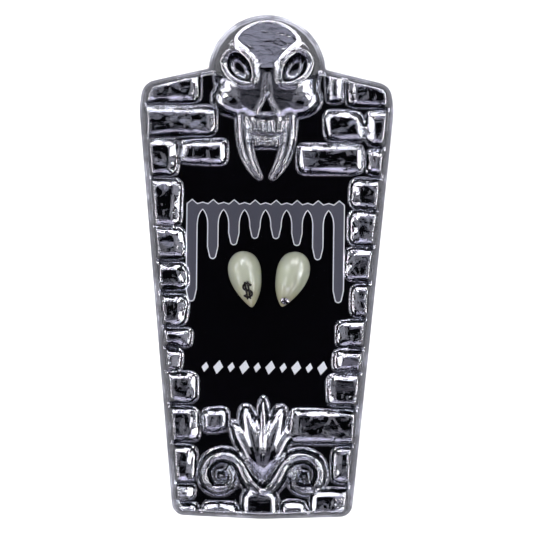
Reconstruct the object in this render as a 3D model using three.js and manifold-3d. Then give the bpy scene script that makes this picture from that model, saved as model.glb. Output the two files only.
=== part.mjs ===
// A pair of vampire fang caps in a clear, coffin-shaped display case that lies on its back.
// Lengths are in millimetres. +X is to the right, +Y toward the coffin's head, +Z out of its front.
// The origin is the middle of the footprint, on the surface that the case lies on.

import * as THREE from 'three';
import { mergeVertices } from 'three/addons/utils/BufferGeometryUtils.js';
import Module from 'manifold-3d';

const wasm = await Module();
wasm.setup();

// Case, seen from the front
const caseLength = 151.5;          // foot edge to the crown of the skull
const shoulderWidth = 76.4;        // the widest place
const headNarrowing = 1.0;         // how far each head corner lies inside the shoulder
const footWidth = 53.6;            // between the two foot corners
const shoulderDrop = 28.8;         // crown of the skull down to the shoulders
const headCornerDrop = 21.0;       // crown of the skull down to the head corners
const headEdgeRise = 8.5;          // climb of the head edge from a corner to the middle
const footBow = 1.0;               // how far the foot edge swells past its corners
const cornerRadius = 3.2;
const softBend = 9.6;              // radius of the shoulders and of the middles of the two ends
const leastRadius = 0.3;
const skullRadius = 17.8;          // half the width of the skull boss

// Case, seen from the side
const caseDepth = 20.0;            // surface to the highest stones
const paneDepth = 13.5;            // surface to the front of the window
const wallDraft = 3.0;             // how far a side wall leans in over the case's depth
const coverWall = 0.8;
const crestBevel = 0.9;            // bevel where a side wall meets the stones' tops
const fitGap = 0.3;                // between pieces that rest on or in each other

// Back tray and card
const trayThickness = 1.0;
const rimHeight = 1.2;             // upstand above the tray's floor, which carries the card
const rimWall = 0.8;
const cardThickness = 0.7;
const cardTabRadius = 16.2;        // round tab behind the skull
const cardCornerRadius = 6.0;

// Stones of the border
const stoneWidth = 10.4;           // a side stone, from the case wall inward
const stoneRise = 5.6;             // tallest stone above the window
const stoneBevel = 1.3;            // how far a stone's flanks lean in
const stoneCorner = 1.5;
const stoneInnerCorner = 2.2;      // of a side stone's end by the window
const footStoneHeight = 10.0;
const grooveDepth = 0.8;           // the grooves between stones, cut into the side walls
const skirtHeight = 1.8;           // foot of the cover, below the stones
const studRadius = 1.7;            // small round stud on the last foot stone
const studRise = 0.6;

// Skull boss
const skullRise = 20.6;            // surface to the top of the brow
const skullDraft = 0.9;
const jawWidth = 15.4;
const jawLength = 13.2;
const jawShare = 0.80;             // its rise, as a stone's
const toothRise = 3.4;             // long teeth above the window's face

// Scroll ornament at the foot
const scrollRadius = 6.8;          // middle line of a volute's outer turn
const scrollBand = 5.2;            // width of the band at its start
const scrollRise = 5.4;            // top of the band above the window
const scrollFall = 0.8;            // how much lower the band is at a volute's eye
const formSink = 0.6;              // how far below the window's face bands and ribs are centred
const scrollSpread = 12.2;         // centre line of the case to a volute's eye
const scrollHeight = 13.8;         // a volute's eye above the foot edge
const shellRadius = 23.0;          // fluted shell, from its root between the volutes
const shellRise = 5.4;

// Fang caps
const fangLength = 17.0;           // gum edge to tip
const fangWidth = 10.1;
const fangHeight = 8.2;            // back rim to the fullest place of the front
const fangWall = 1.1;
const fangFullness = 0.85;         // below 1 the section is fuller than half an oval
const fangLean = 2.5;              // sideways shift of the tip
const fangSpread = 15.6;           // between the middles of the two gum ends
const fangShift = 1.5;             // how far right of the case's middle the pair lies
const fangTop = 80.4;              // gum ends above the foot edge
const rightFangTurn = 5.0;         // degrees, the right fang leans a little more
const socketShare = 0.66;          // share of the length that is hollow

// Charm and crystal
const charmHeight = 5.1;
const charmStroke = 0.5;
const charmThickness = 0.45;
const charmTurn = 10.0;            // degrees
const crystalDiameter = 2.7;
const crystalHeight = 1.1;

const footY = -caseLength / 2;
const shoulderHeight = caseLength - shoulderDrop;
const headCornerHeight = caseLength - headCornerDrop;
const skullY = footY + caseLength - skullRadius;
const coverBottom = trayThickness + fitGap;
const stoneFoot = coverBottom + skirtHeight;
const cardBottom = trayThickness + rimHeight + fitGap;
const cardTop = cardBottom + cardThickness;
const fangBase = cardTop + fitGap;

// Border stones along the side walls. from and to are shares of the case's length up from the
// foot, width is a share of stoneWidth and rise a share of stoneRise. side is +1 on the right.
const sideStones = [
  { side: -1, from: 0.818, to: 0.905, width: 1.78, rise: 0.95 },
  { side: -1, from: 0.752, to: 0.811, width: 2.21, rise: 0.90 },
  { side: -1, from: 0.675, to: 0.745, width: 1.00, rise: 1.00 },
  { side: -1, from: 0.578, to: 0.668, width: 1.04, rise: 0.94 },
  { side: -1, from: 0.509, to: 0.571, width: 1.03, rise: 0.86 },
  { side: -1, from: 0.453, to: 0.502, width: 1.01, rise: 0.92 },
  { side: -1, from: 0.384, to: 0.446, width: 0.96, rise: 1.00 },
  { side: -1, from: 0.343, to: 0.377, width: 0.98, rise: 0.82 },
  { side: -1, from: 0.296, to: 0.336, width: 0.67, rise: 0.90 },
  { side: -1, from: 0.230, to: 0.289, width: 1.07, rise: 0.96 },
  { side: -1, from: 0.158, to: 0.223, width: 1.01, rise: 0.88 },
  { side: -1, from: 0.081, to: 0.151, width: 0.84, rise: 0.94 },
  { side: -1, from: 0.042, to: 0.074, width: 0.70, rise: 0.84 },
  { side: 1, from: 0.811, to: 0.905, width: 1.40, rise: 0.92 },
  { side: 1, from: 0.737, to: 0.804, width: 0.74, rise: 1.00 },
  { side: 1, from: 0.682, to: 0.730, width: 0.66, rise: 0.88 },
  { side: 1, from: 0.617, to: 0.675, width: 1.07, rise: 0.95 },
  { side: 1, from: 0.543, to: 0.610, width: 1.02, rise: 0.90 },
  { side: 1, from: 0.472, to: 0.536, width: 0.97, rise: 1.00 },
  { side: 1, from: 0.403, to: 0.465, width: 0.69, rise: 0.86 },
  { side: 1, from: 0.345, to: 0.396, width: 1.00, rise: 0.94 },
  { side: 1, from: 0.297, to: 0.338, width: 1.03, rise: 0.84 },
  { side: 1, from: 0.227, to: 0.290, width: 1.11, rise: 0.98 },
  { side: 1, from: 0.154, to: 0.220, width: 2.07, rise: 0.90 },
  { side: 1, from: 0.078, to: 0.147, width: 0.72, rise: 0.96 },
];

// Stones away from the side walls. inner and outer are shares of half the shoulder width.
const fieldStones = [
  { side: -1, from: 0.701, to: 0.745, inner: 0.300, outer: 0.665, rise: 0.92 },
  { side: 1, from: 0.818, to: 0.905, inner: 0.460, outer: 0.585, rise: 0.84 },
  { side: 1, from: 0.747, to: 0.804, inner: 0.450, outer: 0.755, rise: 0.94 },
  { side: 1, from: 0.682, to: 0.740, inner: 0.250, outer: 0.755, rise: 0.90 },
  { side: -1, from: 0.176, to: 0.224, inner: 0.270, outer: 0.465, rise: 0.80 },
];

// Stones of the foot edge. from and to are shares of half the foot width, height is a share of
// footStoneHeight.
const footStones = [
  { from: -1.10, to: -0.70, height: 0.52, rise: 0.84 },
  { from: -0.67, to: -0.26, height: 0.56, rise: 0.80 },
  { from: -0.22, to: 0.18, height: 0.90, rise: 0.84 },
  { from: 0.21, to: 0.50, height: 0.66, rise: 0.78 },
  { from: 0.53, to: 1.10, height: 1.06, rise: 0.82 },
];
const studAt = { across: 0.84, up: 0.58 };   // shares of half the foot width and of footStoneHeight

// Rounded lumps of the skull. across and down are shares of skullRadius from the skull's middle, wide
// and long half the lump's size in the same shares; top and thick are shares of skullRise, and turn
// is in degrees. Every lump with an across has its mirror image too.
const skullLumps = [
  { across: 0.00, down: 0.50, wide: 0.62, long: 0.62, top: 0.92, thick: 0.41, turn: 0 },
  { across: 0.59, down: 0.56, wide: 0.32, long: 0.21, top: 0.87, thick: 0.25, turn: 24 },
];
const skullHollows = [
  { across: 0.39, down: 0.11, wide: 0.28, long: 0.21, top: 1.31, thick: 0.29, turn: 32 },
  { across: 0.065, down: 0.63, wide: 0.08, long: 0.18, top: 1.20, thick: 0.24, turn: 16 },
];

// Middle line of the skull's long teeth, in shares of skullRadius. half is half the tooth's width.
const longTooth = [
  { across: 0.47, down: 0.81, half: 0.13 },
  { across: 0.45, down: 1.07, half: 0.125 },
  { across: 0.40, down: 1.35, half: 0.10 },
  { across: 0.33, down: 1.60, half: 0.08 },
  { across: 0.25, down: 1.78, half: 0.06 },
];

// Ribs of the shell. lean is in degrees from straight up, reach and wide are shares of shellRadius.
const shellRibs = [
  { lean: -27, reach: 0.84, wide: 0.110 },
  { lean: -13, reach: 0.94, wide: 0.115 },
  { lean: 0, reach: 1.00, wide: 0.120 },
  { lean: 13, reach: 0.94, wide: 0.115 },
  { lean: 27, reach: 0.84, wide: 0.110 },
];

// Fang sections from gum to tip. along is a share of fangLength, half of half the width,
// tall of the height and lean of fangLean.
const fangSections = [
  { along: 0.000, half: 0.20, tall: 0.30, lean: -0.06 },
  { along: 0.045, half: 0.53, tall: 0.60, lean: -0.01 },
  { along: 0.114, half: 0.77, tall: 0.80, lean: 0.00 },
  { along: 0.200, half: 0.92, tall: 0.93, lean: 0.02 },
  { along: 0.300, half: 1.00, tall: 1.00, lean: 0.06 },
  { along: 0.410, half: 1.00, tall: 1.00, lean: 0.13 },
  { along: 0.524, half: 0.95, tall: 0.93, lean: 0.24 },
  { along: 0.650, half: 0.84, tall: 0.80, lean: 0.43 },
  { along: 0.792, half: 0.61, tall: 0.60, lean: 0.65 },
  { along: 0.915, half: 0.33, tall: 0.38, lean: 0.86 },
  { along: 1.000, half: 0.08, tall: 0.18, lean: 1.00 },
];

// Turns a closed geometry into a solid that can be joined and cut.
function solidOf(geometry) {
  const plain = new THREE.BufferGeometry();
  plain.setAttribute('position', geometry.getAttribute('position').clone());
  plain.setIndex(geometry.getIndex() ? geometry.getIndex().clone() : null);
  const merged = mergeVertices(plain, 1e-4);
  const corners = Array.from(merged.getIndex().array);
  const triangles = [];
  for (let i = 0; i < corners.length; i += 3) {
    const [a, b, c] = corners.slice(i, i + 3);
    if (a !== b && b !== c && c !== a) triangles.push(a, b, c);
  }
  return new wasm.Manifold(new wasm.Mesh({
    numProp: 3,
    vertProperties: Float32Array.from(merged.getAttribute('position').array),
    triVerts: Uint32Array.from(triangles),
  }));
}

function geometryOf(solid) {
  const mesh = solid.getMesh();
  const geometry = new THREE.BufferGeometry();
  geometry.setAttribute('position', new THREE.BufferAttribute(Float32Array.from(mesh.vertProperties), 3));
  geometry.setIndex(new THREE.BufferAttribute(Uint32Array.from(mesh.triVerts), 1));
  geometry.computeVertexNormals();
  return geometry;
}

const joined = (solids) => solids.reduce((sum, next) => sum.add(next));

// A closed solid through rings of equally many points, each ring closed with a fan.
function loft(rings) {
  const count = rings[0].length;
  const positions = [];
  const triangles = [];
  for (const ring of rings) for (const p of ring) positions.push(p.x, p.y, p.z);
  for (let r = 0; r + 1 < rings.length; r++) {
    for (let k = 0; k < count; k++) {
      const a = r * count + k;
      const b = r * count + ((k + 1) % count);
      triangles.push(a, b, b + count, a, b + count, a + count);
    }
  }
  for (const [ring, first, flip] of [[rings[0], 0, true], [rings.at(-1), (rings.length - 1) * count, false]]) {
    const middle = ring.reduce((sum, p) => sum.add(p), new THREE.Vector3()).divideScalar(count);
    const hub = positions.length / 3;
    positions.push(middle.x, middle.y, middle.z);
    for (let k = 0; k < count; k++) {
      const a = first + k;
      const b = first + ((k + 1) % count);
      triangles.push(hub, flip ? b : a, flip ? a : b);
    }
  }
  const geometry = new THREE.BufferGeometry();
  geometry.setAttribute('position', new THREE.Float32BufferAttribute(positions, 3));
  geometry.setIndex(triangles);
  return geometry;
}

// Moves each edge of a sharp outline in by its own inset, then rounds the corners. The outline runs
// anticlockwise; insets is one number or one for each edge, the edge that starts at that corner.
function roundedRing(corners, insets, steps, z) {
  const count = corners.length;
  const insetOf = (i) => (Array.isArray(insets) ? insets[i] : insets);
  const normals = corners.map((p, i) => {
    const q = corners[(i + 1) % count];
    const length = Math.hypot(q.x - p.x, q.y - p.y);
    return { x: -(q.y - p.y) / length, y: (q.x - p.x) / length };
  });
  const ring = [];
  corners.forEach((p, i) => {
    const before = (i + count - 1) % count;
    const [m, n] = [normals[before], normals[i]];
    const radius = Math.max(p.radius - (insetOf(before) + insetOf(i)) / 2, leastRadius);
    const shifted = (a, b) => {
      const cross = m.x * n.y - m.y * n.x;
      return { x: p.x + (a * n.y - b * m.y) / cross, y: p.y + (b * m.x - a * n.x) / cross };
    };
    const centre = shifted(insetOf(before) + radius, insetOf(i) + radius);
    const start = Math.atan2(-m.y, -m.x);
    const turn = Math.atan2(m.x * n.y - m.y * n.x, m.x * n.x + m.y * n.y);
    for (let k = 0; k <= steps; k++) {
      const angle = start + turn * k / steps;
      ring.push(new THREE.Vector3(centre.x + radius * Math.cos(angle), centre.y + radius * Math.sin(angle), z));
    }
  });
  return ring;
}

// Outline of the coffin without its skull.
function coffinCorners(footRadius = cornerRadius) {
  const half = (height, width, radius) => [
    { x: width / 2, y: footY + height, radius },
    { x: -width / 2, y: footY + height, radius },
  ];
  const [footRight, footLeft] = half(footBow, footWidth, footRadius);
  const [shoulderRight, shoulderLeft] = half(shoulderHeight, shoulderWidth, softBend);
  const [headRight, headLeft] = half(headCornerHeight, shoulderWidth - 2 * headNarrowing, cornerRadius);
  const headMiddle = { x: 0, y: footY + headCornerHeight + headEdgeRise, radius: softBend };
  const footMiddle = { x: 0, y: footY, radius: softBend };
  return [footMiddle, footRight, shoulderRight, headRight, headMiddle, headLeft, shoulderLeft, footLeft];
}

// How far the side walls have leaned in at a height, from the foot of the stones.
const draftAt = (z) => wallDraft * (z - stoneFoot) / (caseDepth - stoneFoot);

// The coffin between heights, each level with its own inset from the outline at the bottom.
function coffinBody(levels, footRadius) {
  return solidOf(loft(levels.map(({ z, inset }) => roundedRing(coffinCorners(footRadius), inset, 3, z))));
}

// A round body about an upright axis at (x, y), from pairs of radius and height.
function turned(profile, x, y, sides = 24) {
  const points = profile.map(([radius, z]) => new THREE.Vector2(radius, z));
  const closed = [new THREE.Vector2(0, points[0].y), ...points];
  if (points.at(-1).x > 0) closed.push(new THREE.Vector2(0, points.at(-1).y));
  const geometry = new THREE.LatheGeometry(closed, sides);
  geometry.rotateX(Math.PI / 2).translate(x, y, 0);
  return solidOf(geometry);
}

// An egg-shaped lump, with its radii along the three axes made smaller by shrink.
function lump({ x, y, z, radii, turn = 0 }, shrink, sides = 12) {
  const geometry = new THREE.SphereGeometry(1, sides, sides / 2);
  geometry.rotateX(Math.PI / 2);
  geometry.scale(radii[0] - shrink, radii[1] - shrink, radii[2] - shrink);
  geometry.rotateZ(THREE.MathUtils.degToRad(turn)).translate(x, y, z);
  return solidOf(geometry);
}

// A band of oval section along points that each have their own half width and height above z.
function band(stations, shrink, sides = 8) {
  const rings = stations.map((station, i) => {
    const before = stations[Math.max(i - 1, 0)];
    const after = stations[Math.min(i + 1, stations.length - 1)];
    const length = Math.hypot(after.x - before.x, after.y - before.y);
    const along = { x: (after.x - before.x) / length, y: (after.y - before.y) / length };
    const inward = shrink * ((i === 0 ? 1 : 0) - (i === stations.length - 1 ? 1 : 0));
    const middle = { x: station.x + along.x * inward, y: station.y + along.y * inward };
    return Array.from({ length: sides }, (_, k) => {
      const angle = 2 * Math.PI * k / sides;
      const out = (station.half - shrink) * Math.cos(angle);
      const up = (station.rise - shrink) * Math.sin(angle);
      return new THREE.Vector3(middle.x - along.y * out, middle.y + along.x * out, station.z + up);
    });
  });
  return solidOf(loft(rings));
}

// A stone: an outline whose flanks lean in from the window's level to its top.
function stone(corners, rise, shrink) {
  const top = paneDepth + stoneRise * rise - shrink;
  const level = (z, inset) => roundedRing(corners, inset + shrink, 1, z);
  return solidOf(loft([
    level(stoneFoot + shrink, 0),
    level(top - stoneBevel / 3, stoneBevel * 0.6),
    level(top, stoneBevel),
  ]));
}

const sharesOf = (low, high) => [footY + low * caseLength, footY + high * caseLength];

// Half the case's width at a height, along the straight run of the side wall.
function wallAt(y) {
  const run = (y - footY - footBow) / (shoulderHeight - footBow);
  return (footWidth + (shoulderWidth - footWidth) * Math.min(run, 1)) / 2;
}

function rectangle(x0, x1, y0, y1) {
  const [left, right] = x0 < x1 ? [x0, x1] : [x1, x0];
  return [[left, y0], [right, y0], [right, y1], [left, y1]].map(([x, y]) => (
    { x, y, radius: x === x0 ? stoneInnerCorner : stoneCorner }));
}

function borderStones(shrink) {
  const past = 2 * stoneInnerCorner + stoneBevel;   // stones run on through the wall and are cut by it
  const solids = [];
  for (const row of sideStones) {
    const [y0, y1] = sharesOf(row.from, row.to);
    const wall = wallAt((y0 + y1) / 2);
    const corners = rectangle(row.side * (wall - stoneWidth * row.width), row.side * (wall + past), y0, y1);
    solids.push(stone(corners, row.rise, shrink));
  }
  for (const row of fieldStones) {
    const [y0, y1] = sharesOf(row.from, row.to);
    const [inner, outer] = [row.inner, row.outer].map((share) => row.side * share * shoulderWidth / 2);
    solids.push(stone(rectangle(inner, outer, y0, y1), row.rise, shrink));
  }
  for (const row of footStones) {
    const [x0, x1] = [row.from, row.to].map((share) => share * footWidth / 2);
    solids.push(stone(rectangle(x0, x1, footY - past, footY + footStoneHeight * row.height), row.rise, shrink));
  }
  const wallSolid = coffinBody([
    { z: coverBottom, inset: draftAt(coverBottom) + shrink },
    { z: caseDepth - crestBevel - shrink, inset: draftAt(caseDepth - crestBevel) + shrink },
    { z: caseDepth - shrink, inset: draftAt(caseDepth) + crestBevel + shrink },
  ]);
  return joined(solids).intersect(wallSolid);
}

// The lumps of a table, each with its mirror image, made smaller by shrink.
function skullForms(table, shrink, sides) {
  return joined(table.flatMap((row) => (row.across ? [-1, 1] : [1]).map((side) => lump({
    x: side * skullRadius * row.across,
    y: skullY - skullRadius * row.down,
    z: skullRise * (row.top - row.thick),
    radii: [skullRadius * row.wide, skullRadius * row.long, skullRise * row.thick],
    turn: side * row.turn,
  }, shrink, sides))));
}

function skullBoss(shrink) {
  const crown = turned([
    [skullRadius - shrink, coverBottom],
    [skullRadius - skullDraft - shrink, skullRise * 0.42],
    [skullRadius * 0.86 - shrink, skullRise * 0.70],
    [skullRadius * 0.62 - shrink, skullRise * 0.89 - shrink],
    [skullRadius * 0.30, skullRise - shrink],
  ], 0, skullY);
  const jawCorners = rectangle(-jawWidth / 2, jawWidth / 2,
    skullY - skullRadius * 0.62 - jawLength, skullY - skullRadius * 0.4)
    .map((corner, i) => ({ ...corner, radius: i < 2 ? jawWidth * 0.3 : stoneCorner }));
  const teeth = [-1, 1].map((side) => band(longTooth.map((row) => ({
    x: side * skullRadius * row.across,
    y: skullY - skullRadius * row.down,
    z: paneDepth - formSink,
    half: skullRadius * row.half,
    rise: toothRise + formSink,
  })), shrink));
  return joined([crown, skullForms(skullLumps, shrink, 14), stone(jawCorners, jawShare, shrink), ...teeth])
    .subtract(skullForms(skullHollows, -shrink, 12));
}

// One volute: up from the shell's root, over the top and round to its eye.
function volute(side, shrink) {
  const steps = 17;
  const stations = Array.from({ length: steps + 1 }, (_, i) => {
    const share = i / steps;
    const angle = Math.PI * (0.95 - 2.75 * share);
    const radius = scrollRadius * (1 - 0.78 * share);
    return {
      x: side * (scrollSpread + radius * Math.cos(angle)),
      y: footY + scrollHeight + radius * Math.sin(angle),
      z: paneDepth - formSink,
      half: scrollBand / 2 * (1 - 0.45 * share),
      rise: scrollRise + formSink - scrollFall * share,
    };
  });
  const root = { ...stations[0], x: 0, y: footY + scrollHeight * 0.62 };
  const stem = { ...stations[0], x: side * scrollSpread * 0.28, y: footY + scrollHeight * 0.82 };
  return band([root, stem, ...stations], shrink);
}

// A fan of rounded ribs that rises from between the volutes.
function flutedShell(shrink) {
  const rootY = footY + scrollHeight;
  return joined(shellRibs.map(({ lean, reach, wide }) => {
    const angle = THREE.MathUtils.degToRad(90 - lean);
    const length = shellRadius * reach;
    return lump({
      x: length * 0.56 * Math.cos(angle), y: rootY + length * 0.56 * Math.sin(angle), z: paneDepth - formSink,
      radii: [length * 0.46, shellRadius * wide, shellRise + formSink], turn: 90 - lean,
    }, shrink, 10);
  }).concat(lump({
    x: 0, y: rootY + shellRadius * 0.08, z: paneDepth - formSink,
    radii: [shellRadius * 0.14, shellRadius * 0.26, shellRise + formSink],
  }, shrink, 12)));
}

function studOf(shrink) {
  const stoneTop = paneDepth + stoneRise * footStones.at(-1).rise;
  return turned([
    [studRadius - shrink, stoneTop - studRadius],
    [studRadius - shrink, stoneTop + studRise * 0.5 - shrink],
    [studRadius * 0.72 - shrink, stoneTop + studRise - shrink],
  ], studAt.across * footWidth / 2, footY + studAt.up * footStoneHeight, 12);
}

// The cover's outer form for shrink 0, and the space inside it for shrink equal to its wall.
function coverForm(shrink) {
  const base = coffinBody([
    { z: coverBottom, inset: grooveDepth + draftAt(coverBottom) + shrink },
    { z: paneDepth - shrink, inset: grooveDepth + draftAt(paneDepth) + shrink },
  ]);
  return joined([
    base, borderStones(shrink), skullBoss(shrink),
    volute(-1, shrink), volute(1, shrink), flutedShell(shrink), studOf(shrink),
  ]);
}

function caseCover() {
  const inside = coverForm(coverWall);
  const mouth = coffinBody([
    { z: 0, inset: grooveDepth + draftAt(coverBottom) + coverWall },
    { z: stoneFoot, inset: grooveDepth + draftAt(stoneFoot) + coverWall },
  ]).add(turned([[skullRadius - coverWall, 0], [skullRadius - coverWall, stoneFoot]], 0, skullY));
  const below = solidOf(new THREE.BoxGeometry(2 * shoulderWidth, 2 * caseLength, 2 * coverBottom));
  return coverForm(0).subtract(inside).subtract(mouth).subtract(below);
}

// A plate of the case's outline with its round end behind the skull.
function plate(z0, z1, inset, roundRadius, footRadius) {
  return coffinBody([{ z: z0, inset }, { z: z1, inset }], footRadius)
    .add(turned([[roundRadius, z0], [roundRadius, z1]], 0, skullY));
}

const rimTop = trayThickness + rimHeight;
const rimInset = grooveDepth + draftAt(cardTop) + coverWall + fitGap;
const tabRadius = skullRadius - coverWall - fitGap - skullDraft / 2;

function caseTray() {
  const floor = plate(0, trayThickness, grooveDepth + draftAt(coverBottom), skullRadius);
  const rim = plate(trayThickness / 2, rimTop, rimInset, tabRadius);
  const well = plate(trayThickness, rimTop + rimWall, rimInset + rimWall, tabRadius - rimWall);
  return floor.add(rim).subtract(well);
}

// The card lies on the tray's rim, all but its round tab behind the skull, which is smaller.
function backingCard() {
  return plate(cardBottom, cardTop, rimInset, cardTabRadius, cardCornerRadius);
}

// A fang's outer form, or the space inside it where shrink is its wall. It is made with its gum end
// at the origin, its back on z = 0 and its tip toward -Y, leaning to +X.
function fangForm(shrink, reach = 1, backDrop = 0) {
  const arc = 9;
  const rings = fangSections.filter(({ along }) => along <= reach).map((section) => {
    const half = Math.max(fangWidth / 2 * section.half - shrink, leastRadius / 2);
    const tall = Math.max(fangHeight * section.tall - shrink, leastRadius / 2);
    const ring = Array.from({ length: arc }, (_, k) => {
      const angle = Math.PI * k / (arc - 1);
      const x = Math.sign(Math.cos(angle)) * Math.abs(Math.cos(angle)) ** fangFullness * half;
      const z = k === 0 || k === arc - 1 ? -backDrop : Math.sin(angle) ** fangFullness * tall;
      return new THREE.Vector3(x + fangLean * section.lean, -fangLength * section.along, z);
    });
    return ring;
  });
  return solidOf(loft(rings));
}

function fangCap() {
  const hollow = fangForm(fangWall, socketShare, fangWall);
  const gumNotch = solidOf(new THREE.CylinderGeometry(fangHeight * 0.3, fangHeight * 0.3, fangLength * 0.3, 14)
    .translate(0, -fangLength * 0.06, 0));
  return fangForm(0).subtract(hollow).subtract(gumNotch);
}

// Places a piece made in a fang's own frame on the card. side is -1 for the left fang.
function onFang(solid, side) {
  const geometry = geometryOf(solid);
  const turn = side > 0 ? -rightFangTurn : 0;
  if (side > 0) {
    geometry.scale(-1, 1, 1);
    const corners = geometry.getIndex().array;
    for (let i = 0; i < corners.length; i += 3) [corners[i + 1], corners[i + 2]] = [corners[i + 2], corners[i + 1]];
  }
  geometry.rotateZ(THREE.MathUtils.degToRad(turn));
  geometry.translate(side * fangSpread / 2 + fangShift, footY + fangTop, fangBase);
  geometry.computeVertexNormals();
  return geometry;
}

// A point on a fang's front at a share of its length and of its half width.
function onFront(along, across) {
  const next = fangSections.findIndex((section) => section.along >= along);
  const [a, b] = [fangSections[next - 1], fangSections[next]];
  const share = (along - a.along) / (b.along - a.along);
  const mix = (key) => a[key] + (b[key] - a[key]) * share;
  const angle = Math.acos(Math.sign(across) * Math.abs(across) ** (1 / fangFullness));
  return new THREE.Vector3(
    fangLean * mix('lean') + across * fangWidth / 2 * mix('half'),
    -fangLength * along,
    Math.sin(angle) ** fangFullness * fangHeight * mix('tall'),
  );
}

// A dollar sign standing through the fang's front, kept only between two skins just above it.
function dollarCharm() {
  const bowl = charmHeight * 0.205;
  const steps = 7;
  const path = [];
  for (let k = 0; k <= steps; k++) {
    const angle = THREE.MathUtils.degToRad(15 + 255 * k / steps);
    path.push([bowl * 1.15 * Math.cos(angle), bowl * (1 + Math.sin(angle))]);
  }
  for (let k = 1; k <= steps; k++) {
    const angle = THREE.MathUtils.degToRad(90 - 255 * k / steps);
    path.push([bowl * 1.15 * Math.cos(angle), bowl * (-1 + Math.sin(angle))]);
  }
  const bar = solidOf(new THREE.BoxGeometry(charmStroke * 0.8, charmHeight, 2 * fangHeight));
  const stroke = path.map(([x, y], i) => {
    const [before, after] = [path[Math.max(i - 1, 0)], path[Math.min(i + 1, path.length - 1)]];
    const length = Math.hypot(after[0] - before[0], after[1] - before[1]);
    const side = [-(after[1] - before[1]) / length, (after[0] - before[0]) / length];
    return [1, 1, -1, -1].map((s, k) => new THREE.Vector3(
      x + side[0] * s * charmStroke / 2, y + side[1] * s * charmStroke / 2,
      (k === 0 || k === 3 ? -1 : 1) * fangHeight,
    ));
  });
  const flat = solidOf(loft(stroke)).add(bar.translate([-charmStroke * 0.9, 0, 0]))
    .add(bar.translate([charmStroke * 0.9, 0, 0]));
  const seat = onFront(0.69, 0);
  const standing = flat.rotate([0, 0, charmTurn]).translate([seat.x, seat.y, 0]);
  const above = solidOf(new THREE.BoxGeometry(fangWidth * 2, fangLength * 2, fangHeight * 4))
    .translate([0, -fangLength / 2, fangHeight * 2]);
  return standing.intersect(above).intersect(fangForm(-fitGap - charmThickness)).subtract(fangForm(-fitGap));
}

// A flat-backed stone with a table and sixteen crown facets, seated square to the fang's front.
function cutCrystal() {
  const sides = 8;
  const ring = (radius, z, turn) => Array.from({ length: sides }, (_, k) => {
    const angle = 2 * Math.PI * (k + turn) / sides;
    return new THREE.Vector3(radius * Math.cos(angle), radius * Math.sin(angle), z);
  });
  const radius = crystalDiameter / 2;
  const geometry = loft([
    ring(radius * 0.86, 0, 0), ring(radius, crystalHeight * 0.35, 0), ring(radius * 0.58, crystalHeight, 0.5),
  ]);
  const [along, across] = [0.865, 0.0];
  const seat = onFront(along, across);
  const down = onFront(along + 0.03, across).sub(onFront(along - 0.03, across));
  const over = onFront(along, across + 0.1).sub(onFront(along, across - 0.1));
  const normal = over.cross(down).normalize();
  if (normal.z < 0) normal.negate();
  geometry.applyQuaternion(new THREE.Quaternion().setFromUnitVectors(new THREE.Vector3(0, 0, 1), normal));
  seat.addScaledVector(normal, fitGap);
  geometry.translate(seat.x, seat.y, seat.z);
  return solidOf(geometry);
}

const clearPlastic = { color: 0xdfe6ea, roughness: 0.05, metalness: 0, transparent: true, opacity: 0.3 };
const ivory = { color: 0xc8c8ae, roughness: 0.2, metalness: 0 };

const group = new THREE.Group();

function addPiece(name, geometry, look) {
  const mesh = new THREE.Mesh(geometry, new THREE.MeshStandardMaterial(look));
  mesh.name = name;
  group.add(mesh);
}

addPiece('case_tray', geometryOf(caseTray()), clearPlastic);
addPiece('backing_card', geometryOf(backingCard()), { color: 0x0a0a0c, roughness: 0.45, metalness: 0 });
addPiece('case_cover', geometryOf(caseCover()), clearPlastic);
addPiece('fang_left', onFang(fangCap(), -1), ivory);
addPiece('fang_right', onFang(fangCap(), 1), ivory);
addPiece('dollar_charm', onFang(dollarCharm(), -1), { color: 0x1c130d, roughness: 0.35, metalness: 0.8 });
addPiece('crystal', onFang(cutCrystal(), 1), { color: 0xf2f4ff, roughness: 0.02, metalness: 0 });

export default group;
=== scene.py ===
import math
import random

import bmesh
import bpy
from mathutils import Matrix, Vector


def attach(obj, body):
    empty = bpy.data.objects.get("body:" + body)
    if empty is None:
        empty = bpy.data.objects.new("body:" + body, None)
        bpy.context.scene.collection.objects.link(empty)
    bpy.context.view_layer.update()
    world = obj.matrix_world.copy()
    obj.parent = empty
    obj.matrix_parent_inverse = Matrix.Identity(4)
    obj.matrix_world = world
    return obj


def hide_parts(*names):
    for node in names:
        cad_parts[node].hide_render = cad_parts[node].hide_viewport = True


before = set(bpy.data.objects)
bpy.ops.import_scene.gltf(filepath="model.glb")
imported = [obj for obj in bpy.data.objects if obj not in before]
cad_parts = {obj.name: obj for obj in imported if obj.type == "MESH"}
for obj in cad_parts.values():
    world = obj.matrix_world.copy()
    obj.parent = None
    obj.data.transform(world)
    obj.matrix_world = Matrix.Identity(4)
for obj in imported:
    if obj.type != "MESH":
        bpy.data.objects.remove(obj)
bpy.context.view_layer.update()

mm = 0.001
random.seed(11)
print("frame loaded:", ", ".join(sorted(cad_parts)))


def pick(obj):                                   # only this one is selected and active
    bpy.ops.object.select_all(action="DESELECT")
    obj.select_set(True)
    bpy.context.view_layer.objects.active = obj
    return obj


def named(name):                                 # what an operator has just added
    obj = bpy.context.object
    obj.name = name
    obj.data.name = name
    return obj


def settle(obj):                                 # place, turn and scale go into the mesh
    pick(obj)
    bpy.ops.object.transform_apply(location=True, rotation=True, scale=True)
    return obj


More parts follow.
